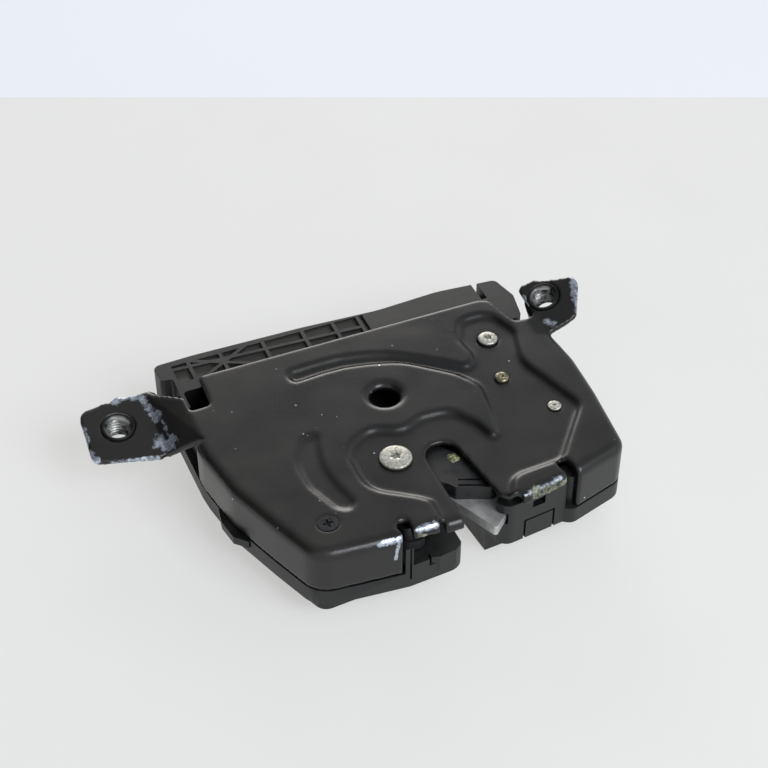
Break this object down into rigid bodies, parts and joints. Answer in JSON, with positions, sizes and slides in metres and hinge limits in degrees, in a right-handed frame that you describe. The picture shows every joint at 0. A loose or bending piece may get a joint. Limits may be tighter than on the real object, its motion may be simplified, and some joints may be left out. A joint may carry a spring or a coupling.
{
  "type": "tailgate latch",
  "caption": "Powered rotary latch: pressed lock plate with two threaded ears over a moulded housing, with a jacketed catch in a striker slot, a pawl and a worm drive",
  "frame": {"origin": "middle of the bounding box in plan, on the underside of the bottom cover", "axes": "+X to the right along the line of the two ears, +Y away from the mouth of the striker slot, +Z out of the lock plate"},
  "size_m": [0.1622, 0.0986, 0.0365],
  "materials": {
    "painted_sheet": "dark semi-gloss dip coat on pressed steel, chipped at the edges",
    "nut_steel": "zinc plated",
    "rivet_steel": "plated steel",
    "black_screw": "black coated steel",
    "black_moulding": "moulded glass-filled plastic",
    "catch_steel": "bare fine-blanked steel",
    "jacket_plastic": "elastic plastic moulded over the catch, greased",
    "spring_steel": "drawn spring wire",
    "white_moulding": "natural acetal",
    "buffer_rubber": "moulded rubber",
    "contact_brass": "stamped brass"
  },
  "bodies": {
    "latch_body": {"lock_plate": "painted_sheet", "weld_nut_left": "nut_steel", "weld_nut_right": "nut_steel", "catch_rivet": "rivet_steel", "pawl_rivet": "rivet_steel", "stay_rivet": "rivet_steel", "guide_screw": "rivet_steel", "plate_screw": "black_screw", "housing": "black_moulding", "bottom_cover": "black_moulding", "cover_screws": "black_screw", "catch_spring": "spring_steel", "pawl_spring": "spring_steel", "motor_can": "nut_steel", "motor_cap": "white_moulding", "shaft_bush": "white_moulding", "wheel_axle": "catch_steel", "catch_switch": "black_moulding", "pawl_switch": "black_moulding", "pawl_buffer": "buffer_rubber", "connector_pins": "contact_brass", "contact_strips": "contact_brass"},
    "catch": {"catch_core": "catch_steel", "catch_jacket": "jacket_plastic"},
    "pawl_body": {"pawl": "catch_steel", "release_pin": "rivet_steel"},
    "wheel": {"cam_wheel": "white_moulding"},
    "worm_body": {"worm": "white_moulding", "motor_shaft": "catch_steel"},
    "catch_button": {"catch_plunger": "white_moulding"},
    "pawl_button": {"pawl_plunger": "white_moulding"}
  },
  "joints": [
    {"name": "catch_turn", "type": "hinge", "parent": "latch_body", "child": "catch", "pos_m": [-0.0006, -0.01845, 0.0184], "axis": [0, 0, 1], "range_deg": [0, 60]},
    {"name": "wheel_turn", "type": "hinge", "parent": "latch_body", "child": "wheel", "pos_m": [0.03261, -0.00425, 0.0098], "axis": [0, 0, 1], "range_deg": [-100, 57]},
    {"name": "pawl_turn", "type": "hinge", "parent": "latch_body", "child": "pawl_body", "pos_m": [0.04691, 0.01905, 0.0184], "axis": [0, 0, 1], "range_deg": [-7, 4]},
    {"name": "worm_turn", "type": "hinge", "parent": "latch_body", "child": "worm_body", "pos_m": [0.03261, 0.01175, 0.0098], "axis": [1, 0, 0], "range_deg": [-2601, 1483]},
    {"name": "catch_button_press", "type": "slide", "parent": "latch_body", "child": "catch_button", "axis": [-1, 0, 0], "range_m": [0, 0.00101]},
    {"name": "pawl_button_press", "type": "slide", "parent": "latch_body", "child": "pawl_button", "axis": [-1, 0, 0], "range_m": [-0.00074, 0.00043]}
  ],
  "couplings": [
    {"joint": "pawl_turn", "follows": "wheel_turn", "ratio": 0.07},
    {"joint": "worm_turn", "follows": "wheel_turn", "ratio": 26},
    {"joint": "catch_button_press", "follows": "catch_turn", "m_per_rad": 0.00095493},
    {"joint": "pawl_button_press", "follows": "wheel_turn", "m_per_rad": 0.00042}
  ]
}
